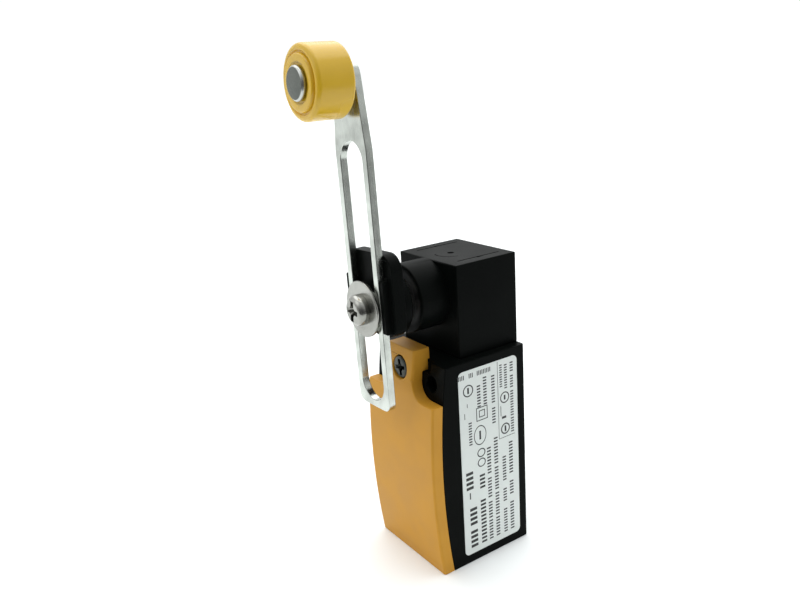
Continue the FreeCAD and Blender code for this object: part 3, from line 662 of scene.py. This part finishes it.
roller = turned("roller_turned", (0, roller_z),
                [(FACE + 0.4, BORE), (FACE + 0.4, 4.55), (FACE, 4.95), (FACE, 6.65), (TREAD_FRONT + 0.4, 6.9),
                 (TREAD_FRONT + 0.4, 7.2), (TREAD_FRONT, 7.5), (TREAD_FRONT, ROLLER_RADIUS),
                 (TREAD_BACK, ROLLER_RADIUS), (TREAD_BACK, 5.5), (SPACER_FACE - 0.05, 5.5),
                 (SPACER_FACE - 0.05, BORE)],
                rounds={2: 0.12, 3: 0.28, 6: 0.25, 7: 1.1, 8: 0.8, 10: 0.2}, steps=144)
lean(smooth(roller, 30))
PIN_FACE = FACE - 0.1 - 0.95
pin = turned("roller_pin_turned", (0, roller_z),
             [(PIN_FACE, 0), (PIN_FACE, 3.7), (PIN_FACE + 0.45, PIN_HEAD), (FACE - 0.1, PIN_HEAD),
              (FACE - 0.1, PIN_SHANK), (LEVER_BACK, PIN_SHANK), (LEVER_BACK, PIN_TAIL),
              (LEVER_BACK + 0.8, PIN_TAIL), (LEVER_BACK + 0.8, 0)],
             rounds={1: 0.12, 2: 0.15, 7: 0.4}, steps=96)
lean(smooth(pin, 30))
spacer = turned("roller_spacer_turned", (0, roller_z),
                [(SPACER_FACE, PIN_SHANK), (SPACER_FACE, 5.0), (LEVER_FRONT, 5.0), (LEVER_FRONT, PIN_SHANK)],
                rounds={1: 0.15, 2: 0.15})
lean(smooth(spacer, 30))
for piece in (roller, pin, spacer):
    report(piece)

# %% [markdown]
# ## The return spring
# The spring under the push rod shortens when the rod goes down; here a coil of fixed length takes the stiff one's
# place.
# A small circle with eight corners is carried round and upwards by a Screw modifier, and the two open ends are filled.

# %% Return spring
WIRE, COIL_RADIUS, SPRING_TURNS = 0.45, 4.6, 5
TURN_STEPS = 32
spring_low, spring_high = limits("return_spring")
spring_rise = spring_high.z - spring_low.z - 2 * WIRE
deselect()
bpy.ops.mesh.primitive_circle_add(vertices=8, radius=WIRE * MM, location=Vector((COIL_RADIUS, 0, 0)) * MM,
                                  rotation=(math.pi / 2, math.pi / 8, 0))
spring = settle(bpy.context.active_object)
spring.name = spring.data.name = "return_spring_coiled"
modify(spring, "SCREW", axis="Z", screw_offset=spring_rise / SPRING_TURNS * MM, iterations=SPRING_TURNS,
       steps=TURN_STEPS, render_steps=TURN_STEPS, use_smooth_shade=False)
edit(spring)
bpy.ops.mesh.fill_holes(sides=8)
bpy.ops.mesh.select_all(action="SELECT")
bpy.ops.transform.translate(value=Vector((0, HEAD_Y, spring_low.z + WIRE)) * MM)
outward(spring)
smooth(spring, 50)
report(spring)

# %% [markdown]
# ## The rating label
# The label is a thin film with rounded corners, drawn as a plate as large as the CAD model's label.

# %% Label film
label_low, label_high = limits("rating_label")
film = plate("label_film_sheet", [(label_low.y, label_low.z), (label_high.y, label_low.z),
                                  (label_high.y, label_high.z), (label_low.y, label_high.z)],
             label_low.x, label_high.x, axis="X", rounds={corner: 1.5 for corner in range(4)})
smooth(film, 30)
report(film)

# %% [markdown]
# ### The print
# The print carries no words here: each line of print is a run of plain strokes, made from one stroke and an Array
# modifier, and the marks are plain rings and boxes. The strokes are a hundredth of a millimetre proud, so they catch
# no light of their own. All of them are joined into one piece at the end.

# %% Label print: a bar, a run of strokes and a ring
INK_LOW, INK_HIGH = label_high.x - 0.02, label_high.x + 0.012
ink = []


def bar(z0, z1, y0, y1):
    """A plain inked bar. Heights come first, then the places across the label."""
    ink.append(block("ink", INK_LOW, INK_HIGH, y0, y1, z0, z1))
    return ink[-1]


def words(z0, z1, y0, y1, weight=0.5):
    """A run of plain upright strokes that reads as print from a distance. weight is the inked share of the run."""
    pitch = 0.25 + 0.5 * (y1 - y0)
    stroke = bar(z0, z0 + pitch * weight, y0, y1)
    modify(stroke, "ARRAY", count=max(1, int((z1 - z0) / pitch + 0.6)), use_relative_offset=False,
           use_constant_offset=True, constant_offset_displace=(0, 0, pitch * MM))


def ring(z, y, radius_z, radius_y, width, filled=0.0):
    """An inked ring, round or oval, with a short bar in it where filled gives half the bar's length."""
    piece = turned("ink", (0, 0), [(INK_LOW, radius_z - width), (INK_LOW, radius_z), (INK_HIGH, radius_z),
                                   (INK_HIGH, radius_z - width)], axis="X", steps=48)
    squeeze = Matrix.Diagonal((1, radius_y / radius_z, 1, 1))
    piece.data.transform(Matrix.Translation(Vector((0, y, z)) * MM) @ squeeze)
    ink.append(piece)
    if filled:
        bar(z - filled, z + filled, y - 0.3, y + 0.3)


# %% Label print: lines of print
words(-50.8, -44.6, -21.6, -19.1, 0.6)
words(-43.6, -37.7, -21.6, -19.1, 0.6)
bar(-35.2, -33.2, -21.5, -21.1)
words(-32.2, -27.0, -22.5, -20.0, 0.6)
words(-50.8, -36.0, -17.7, -15.8, 0.55)
words(-33.2, -28.2, -17.7, -15.8, 0.55)
for low, high, top, bottom in (
        (-50.8, -44.5, -14.8, -13.4), (-43.9, -37.9, -14.8, -13.4), (-37.2, -30.4, -14.8, -13.4),
        (-29.6, -21.6, -14.8, -13.4), (-50.8, -44.5, -12.2, -10.8), (-43.8, -36.4, -12.2, -10.8),
        (-35.6, -28.0, -12.2, -10.8), (-27.4, -19.3, -12.2, -10.8), (-50.8, -42.8, -9.2, -7.9),
        (-40.6, -36.2, -9.2, -7.9), (-33.9, -26.0, -9.2, -7.9), (-50.8, -41.4, -6.7, -5.3),
        (-39.2, -34.7, -6.7, -5.3), (-32.4, -21.7, -6.7, -5.3), (-18.8, -11.4, -20.9, -19.8),
        (-8.4, -1.4, -17.6, -16.4), (-8.2, -0.2, -15.4, -14.2), (-14.8, -9.4, -12.5, -11.3),
        (-8.6, -0.6, -12.5, -11.3), (-4.9, 1.8, -9.5, -8.6), (-5.7, 1.8, -7.8, -6.8), (-19.6, -15.0, -5.7, -4.6),
        (-14.6, -6.8, -5.7, -4.6), (-6.0, -2.4, -5.7, -4.6), (-1.2, 1.8, -5.7, -4.6)):
    words(low, high, top, bottom)
TOP_PITCH = 0.55
for low, high in ((-23.8, -21.4), (-20.2, -18.4), (-17.4, -12.4)):
    for step in range(int((high - low) / TOP_PITCH)):
        bar(0.9, 2.2, low + step * TOP_PITCH, low + step * TOP_PITCH + 0.3)
print(f"{len(ink)} runs and bars of print")

# %% Label print: rings and boxes
ring(-25.2, -16.8, 1.35, 1.45, 0.32)
ring(-22.2, -16.8, 1.35, 1.45, 0.32)
ring(-16.8, -17.0, 2.95, 2.2, 0.3, filled=1.3)
ring(-2.6, -20.6, 1.75, 1.75, 0.34, filled=0.9)
ring(-17.8, -7.8, 1.7, 1.65, 0.4, filled=0.9)
ring(-8.3, -7.8, 1.7, 1.65, 0.34, filled=0.7)
bar(-13.6, -10.6, -9.4, -9.2)
bar(-14.6, -13.9, -9.0, -7.4)
BOX_Z, BOX_Y, BOX_LINE = -10.5, -16.1, 0.25
for half in (2.0, 1.05):
    z_low, z_high, y_low, y_high = BOX_Z - half, BOX_Z + half, BOX_Y - half, BOX_Y + half
    bar(z_low, z_high, y_low, y_low + BOX_LINE)
    bar(z_low, z_high, y_high - BOX_LINE, y_high)
    bar(z_low, z_low + BOX_LINE, y_low, y_high)
    bar(z_high - BOX_LINE, z_high, y_low, y_high)
bar(-20.4, 2.8, -10.25, -10.1)
bar(-20.45, -20.3, -10.25, -4.4)
bar(-10.6, -8.9, -22.2, -22.0)
bar(-7.4, -6.3, -21.2, -21.0)
print(f"{len(ink)} inked shapes")

# %% Label print: one piece
deselect()
for piece in ink:
    piece.select_set(True)
bpy.context.view_layer.objects.active = ink[0]
bpy.ops.object.join()
label_print = bpy.context.active_object
label_print.name = label_print.data.name = "label_print"
edit(label_print)
bpy.ops.mesh.normals_make_consistent(inside=False)
deselect()
report(label_print)

# %% [markdown]
# ## Finishes
# Moulded plastic is never one flat colour: it has a fine spark-eroded grain, faint flow marks and slightly uneven
# gloss. Steel shows the direction it was rolled or brushed in. Each finish reads Object coordinates, which are real
# metres here, so a grain of 0.2 mm is a noise scale of about 5000.

# %% Helpers for finishes
def new_finish(name, colour, roughness, metallic=0.0):
    """A material with its nodes, ready to be wired."""
    finish = bpy.data.materials.new(name)
    finish.use_nodes = True
    nodes, links = finish.node_tree.nodes, finish.node_tree.links
    shader = nodes["Principled BSDF"]
    shader.inputs["Base Color"].default_value = (*colour, 1)
    shader.inputs["Roughness"].default_value = roughness
    shader.inputs["Metallic"].default_value = metallic
    return finish, nodes, links, shader


def noise(nodes, links, scale, stretch=(1, 1, 1), detail=3.0):
    """Noise on Object coordinates, optionally stretched into streaks."""
    place = nodes.new("ShaderNodeTexCoord")
    mapping = nodes.new("ShaderNodeMapping")
    mapping.inputs["Scale"].default_value = stretch
    texture = nodes.new("ShaderNodeTexNoise")
    texture.inputs["Scale"].default_value = scale
    texture.inputs["Detail"].default_value = detail
    links.new(place.outputs["Object"], mapping.inputs["Vector"])
    links.new(mapping.outputs["Vector"], texture.inputs["Vector"])
    return texture


def spread(nodes, links, source, low, high):
    """Noise turned into a value between low and high."""
    ramp = nodes.new("ShaderNodeMapRange")
    ramp.inputs["From Min"].default_value = 0.3
    ramp.inputs["From Max"].default_value = 0.7
    ramp.inputs["To Min"].default_value = low
    ramp.inputs["To Max"].default_value = high
    links.new(source.outputs["Fac"], ramp.inputs["Value"])
    return ramp


def tint(nodes, links, source, first, second):
    """Noise turned into a blend of two colours."""
    ramp = nodes.new("ShaderNodeValToRGB")
    ramp.color_ramp.elements[0].position = 0.35
    ramp.color_ramp.elements[1].position = 0.65
    ramp.color_ramp.elements[0].color = (*first, 1)
    ramp.color_ramp.elements[1].color = (*second, 1)
    links.new(source.outputs["Fac"], ramp.inputs["Fac"])
    return ramp


def grain(nodes, links, shader, source, height):
    """Noise as tiny hills, with their height in millimetres."""
    bump = nodes.new("ShaderNodeBump")
    bump.inputs["Strength"].default_value = 1.0
    bump.inputs["Distance"].default_value = height * MM
    links.new(source.outputs["Fac"], bump.inputs["Height"])
    links.new(bump.outputs["Normal"], shader.inputs["Normal"])


# %% [markdown]
# ### Plastic and metal
# Two recipes make every finish. Plastic gets soft flow marks in colour and gloss, and a fine grain on top. Metal gets
# cloudy patches in its colour, and streaks along z where it was rolled, or an even grain where it was turned.

# %% Recipes for plastic and metal
def moulded(name, colour, second, roughness, grain_size=0.22, grain_height=0.01, specular=0.5, sheen_marks=60):
    """Moulded plastic. Grain sizes are in millimetres, and sheen_marks is the scale of the flow marks."""
    finish, nodes, links, shader = new_finish(name, colour, roughness)
    shader.inputs["Specular IOR Level"].default_value = specular
    flow = noise(nodes, links, sheen_marks, detail=2)
    links.new(tint(nodes, links, flow, colour, second).outputs["Color"], shader.inputs["Base Color"])
    fine = noise(nodes, links, 1 / (grain_size * MM))
    links.new(spread(nodes, links, flow, roughness - 0.05, roughness + 0.05).outputs["Result"],
              shader.inputs["Roughness"])
    grain(nodes, links, shader, fine, grain_height)
    return finish


def metal(name, colour, second, roughness, stretch=(1, 1, 0.04), streak=0.08, height=0.002):
    """Metal. streak is the width of a streak in millimetres, and stretch of (1, 1, 1) leaves it an even grain."""
    finish, nodes, links, shader = new_finish(name, colour, roughness, metallic=1.0)
    streaks = noise(nodes, links, 1 / (streak * MM), stretch)
    cloud = noise(nodes, links, 180, detail=2)
    links.new(tint(nodes, links, cloud, colour, second).outputs["Color"], shader.inputs["Base Color"])
    links.new(spread(nodes, links, streaks, roughness * 0.75, roughness * 1.3).outputs["Result"],
              shader.inputs["Roughness"])
    grain(nodes, links, shader, streaks, height)
    return finish


# %% The finishes of this switch
finishes = {
    "case_black": moulded("black_glass_nylon", (0.0016, 0.0022, 0.0019), (0.0030, 0.0038, 0.0034), 0.40,
                          grain_size=0.3, grain_height=0.014, specular=0.03),
    "cover_yellow": moulded("amber_nylon", (0.52, 0.250, 0.022), (0.56, 0.272, 0.026), 0.46, grain_size=0.25,
                            grain_height=0.006, specular=0.22, sheen_marks=110),
    "roller_yellow": moulded("golden_polyamide", (0.67, 0.415, 0.016), (0.73, 0.455, 0.024), 0.26,
                             grain_size=0.5, grain_height=0.003, specular=0.5),
    "label_film": moulded("label_polyester", (0.70, 0.74, 0.72), (0.74, 0.78, 0.76), 0.36, grain_size=0.8,
                          grain_height=0.003, specular=0.3),
    "lever_steel": metal("bright_plated_strip", (0.58, 0.61, 0.57), (0.42, 0.44, 0.41), 0.22, streak=0.25,
                         height=0.0006),
    "washer_steel": metal("zinc_washer", (0.37, 0.37, 0.345), (0.27, 0.27, 0.25), 0.22, stretch=(1, 1, 1),
                          streak=0.15),
    "pin_steel": metal("turned_pin", (0.13, 0.14, 0.125), (0.10, 0.11, 0.10), 0.28, stretch=(1, 1, 1)),
    "dark_screw": metal("blackened_steel", (0.060, 0.064, 0.058), (0.036, 0.040, 0.036), 0.34, stretch=(1, 1, 1)),
    "plated_steel": metal("zinc_plating", (0.66, 0.66, 0.63), (0.56, 0.56, 0.53), 0.30, stretch=(1, 1, 1)),
    "spring_steel": metal("spring_wire", (0.50, 0.50, 0.50), (0.40, 0.40, 0.40), 0.28, stretch=(1, 1, 1)),
    "bearing_bronze": metal("sintered_bronze", (0.55, 0.36, 0.18), (0.44, 0.28, 0.13), 0.45, stretch=(1, 1, 1)),
    "contact_brass": metal("stamped_brass", (0.75, 0.55, 0.22), (0.66, 0.47, 0.18), 0.30),
    "seal_rubber": moulded("nitrile_rubber", (0.012, 0.012, 0.012), (0.018, 0.018, 0.018), 0.62),
    "inner_black": moulded("black_acetal", (0.014, 0.014, 0.015), (0.020, 0.020, 0.021), 0.40),
    "inner_white": moulded("natural_acetal", (0.70, 0.69, 0.65), (0.76, 0.75, 0.71), 0.40),
    "block_grey": moulded("grey_thermoset", (0.20, 0.21, 0.22), (0.26, 0.27, 0.28), 0.50),
}
printing_ink = moulded("printing_ink", (0.010, 0.010, 0.011), (0.022, 0.022, 0.023), 0.50, grain_size=0.5)
print(f"{len(finishes) + 1} finishes")

# %% [markdown]
# ### A painted highlight on the pin
# The pin's head is dull, and light catches its turned chamfer in a bright ring. That highlight is painted: the finish
# measures how far each point lies from the pin's axis and swaps the dull colour for a bright one beyond 3.7 mm.

# %% Pin: painted highlight on the chamfer
# Where the painted highlight on the chamfer begins and where it is full, in millimetres from the pin's axis.
HIGHLIGHT_START, HIGHLIGHT_END = 3.66, 3.78
nodes, links = finishes["pin_steel"].node_tree.nodes, finishes["pin_steel"].node_tree.links
spot = nodes.new("ShaderNodeTexCoord")
offset = nodes.new("ShaderNodeVectorMath")
offset.operation = "SUBTRACT"
offset.inputs[1].default_value = Vector((pin_x, 0, pin_z)) * MM
flat = nodes.new("ShaderNodeVectorMath")
flat.operation = "MULTIPLY"
flat.inputs[1].default_value = (1, 0, 1)
reach = nodes.new("ShaderNodeVectorMath")
reach.operation = "LENGTH"
edge = nodes.new("ShaderNodeMapRange")
edge.inputs["From Min"].default_value = HIGHLIGHT_START * MM
edge.inputs["From Max"].default_value = HIGHLIGHT_END * MM
blend = nodes.new("ShaderNodeMix")
blend.data_type = "RGBA"
# This bright colour is a painted highlight on the chamfer, not a colour of the steel.
blend.inputs[7].default_value = (0.46, 0.47, 0.45, 1)
shader = nodes["Principled BSDF"]
dull = shader.inputs["Base Color"].links[0].from_socket
links.new(spot.outputs["Object"], offset.inputs[0])
links.new(offset.outputs["Vector"], flat.inputs[0])
links.new(flat.outputs["Vector"], reach.inputs[0])
links.new(reach.outputs["Value"], edge.inputs["Value"])
links.new(edge.outputs["Result"], blend.inputs["Factor"])
links.new(dull, blend.inputs[6])
links.new(blend.outputs[2], shader.inputs["Base Color"])
print("pin finish has", len(nodes), "nodes")

# %% [markdown]
# ## Putting it together
# Each new piece rides on the CAD body that moves it, hides the CAD node it stands for, and takes its finish from that
# node's material slot. The CAD nodes that stay, such as the contacts and the shaft, get their finish the same way.

# %% Pieces, bodies and finishes
slots = {part["node"]: part["material_slot"] for part in frame["record"]["subparts"]}
for node, shape in frame["nodes"].items():
    shape.data.materials.clear()
    shape.data.materials.append(finishes[slots[node]])

new_pieces = [
    (cover, "case", "front_cover"), (case, "case", "housing"), (head, "case", "head_housing"),
    (cover_screw, "case", "cover_screw"), (film, "case", "rating_label"),
    (hub, "swing", "hub"), (clamp_screw, "swing", "clamp_screw"), (washer, "swing", "clamp_washer"),
    (disc, "swing", "spring_disc"), (lever, "lever", "slotted_lever"), (pin, "lever", "roller_pin"),
    (spacer, "lever", "roller_washer"), (roller, "roller", "roller"), (spring, "case", "return_spring"),
]
for piece, body, node in new_pieces:
    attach(piece, body)
    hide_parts(node)
    piece.data.materials.clear()
    piece.data.materials.append(finishes[slots[node]])
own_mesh(spring)
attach(label_print, "case")
label_print.data.materials.clear()
label_print.data.materials.append(printing_ink)
print(f"{len(new_pieces) + 1} new pieces, {sum(len(p.data.polygons) for p, _, _ in new_pieces)} faces")

# %% [markdown]
# ## Camera
# The camera looks at the switch's front and right side from a little above, and leans slightly. Its three directions
# are worked out from azimuth, elevation and roll, and set as one matrix.

# %% Camera
AZIMUTH, ELEVATION, ROLL = (math.radians(v) for v in (56.62, 16.91, -3.82))
back = Vector((math.sin(AZIMUTH) * math.cos(ELEVATION), -math.cos(AZIMUTH) * math.cos(ELEVATION),
               math.sin(ELEVATION)))
level = (-back).cross(Vector((0, 0, 1))).normalized()
upright = level.cross(-back)
right = math.cos(ROLL) * level + math.sin(ROLL) * upright
up = math.cos(ROLL) * upright - math.sin(ROLL) * level
place = Vector((164.0, -138.1, 81.3)) * MM
camera = bpy.data.objects.new("camera", bpy.data.cameras.new("camera"))
camera.data.sensor_width = 36.0
camera.data.lens = 34.58
camera.data.clip_start = 0.01
camera.matrix_world = Matrix(((right.x, up.x, back.x, place.x), (right.y, up.y, back.y, place.y),
                              (right.z, up.z, back.z, place.z), (0, 0, 0, 1)))
bpy.context.scene.collection.objects.link(camera)
bpy.context.scene.camera = camera
print("camera at", [round(v / MM, 1) for v in place], "mm")

# %% [markdown]
# ## Floor
# The switch stands on a long sheet of white paper that begins just in front of it. Where the sheet ends, the dim part
# of the sky is mirrored instead, which keeps the sides that face the camera dark.

# %% Floor
FLOOR_Z = CASE_LOW


def sheet_corner(sideways, away):
    """A point of the floor, measured as the camera sees it: sideways to the right, and away from the camera."""
    point = Vector((-math.sin(AZIMUTH), math.cos(AZIMUTH))) * away + Vector(
        (math.cos(AZIMUTH), math.sin(AZIMUTH))) * sideways
    return tuple(point)


floor = plate("paper_sheet", [sheet_corner(-420, -190), sheet_corner(480, -190), sheet_corner(3000, 4000),
                              sheet_corner(-4000, 4000)], FLOOR_Z - 1, FLOOR_Z, axis="Z")
floor.data.materials.append(new_finish("white_paper", (0.93, 0.95, 0.95), 0.9)[0])
report(floor)

# %% [markdown]
# ## Sky and lamps
# The sky is a gradient, white behind the object and dim behind the camera. So the sides that face the camera mirror a
# dark room, which keeps black plastic deep and gives steel its dark lines, while the tops mirror the bright sky. A
# very wide sun gives the soft shadow, and a weak soft box lifts the front.

# %% Sky
sky = bpy.data.worlds.new("sky")
bpy.context.scene.world = sky
sky.use_nodes = True
sky_nodes, sky_links = sky.node_tree.nodes, sky.node_tree.links
direction = sky_nodes.new("ShaderNodeTexCoord")
aim = sky_nodes.new("ShaderNodeVectorMath")
aim.operation = "DOT_PRODUCT"
aim.inputs[1].default_value = (-0.62, 0.45, 0.64)
fade = sky_nodes.new("ShaderNodeValToRGB")
fade.color_ramp.elements[0].position = 0.18
fade.color_ramp.elements[0].color = (0.12, 0.12, 0.12, 1)
fade.color_ramp.elements[1].position = 0.60
fade.color_ramp.elements[1].color = (1.02, 1.04, 1.04, 1)
half = sky_nodes.new("ShaderNodeMapRange")
half.inputs["From Min"].default_value = -1.0
sky_links.new(direction.outputs["Generated"], aim.inputs[0])
sky_links.new(aim.outputs["Value"], half.inputs["Value"])
sky_links.new(half.outputs["Result"], fade.inputs["Fac"])
sky_links.new(fade.outputs["Color"], sky_nodes["Background"].inputs["Color"])
sky_nodes["Background"].inputs["Strength"].default_value = 1.0
print("sky has", len(sky_nodes), "nodes")

# %% Lamps
def lamp(name, at, towards, size, power):
    """A square soft box that faces a point."""
    light = bpy.data.lights.new(name, "AREA")
    light.size = size * MM
    light.energy = power
    holder = bpy.data.objects.new(name, light)
    holder.location = Vector(at) * MM
    holder.rotation_euler = (Vector(towards) - Vector(at)).to_track_quat("-Z", "Y").to_euler()
    bpy.context.scene.collection.objects.link(holder)


sun = bpy.data.objects.new("sun", bpy.data.lights.new("sun", "SUN"))
sun.data.energy = 1.9
sun.data.angle = math.radians(80)
sun.rotation_euler = Vector((0.35, -0.25, -1)).to_track_quat("-Z", "Y").to_euler()
bpy.context.scene.collection.objects.link(sun)
lamp("front_box", (-60, -560, 420), (0, -20, 0), 400, 0.4)
bpy.context.scene.view_settings.view_transform = "Standard"
print("two lamps")
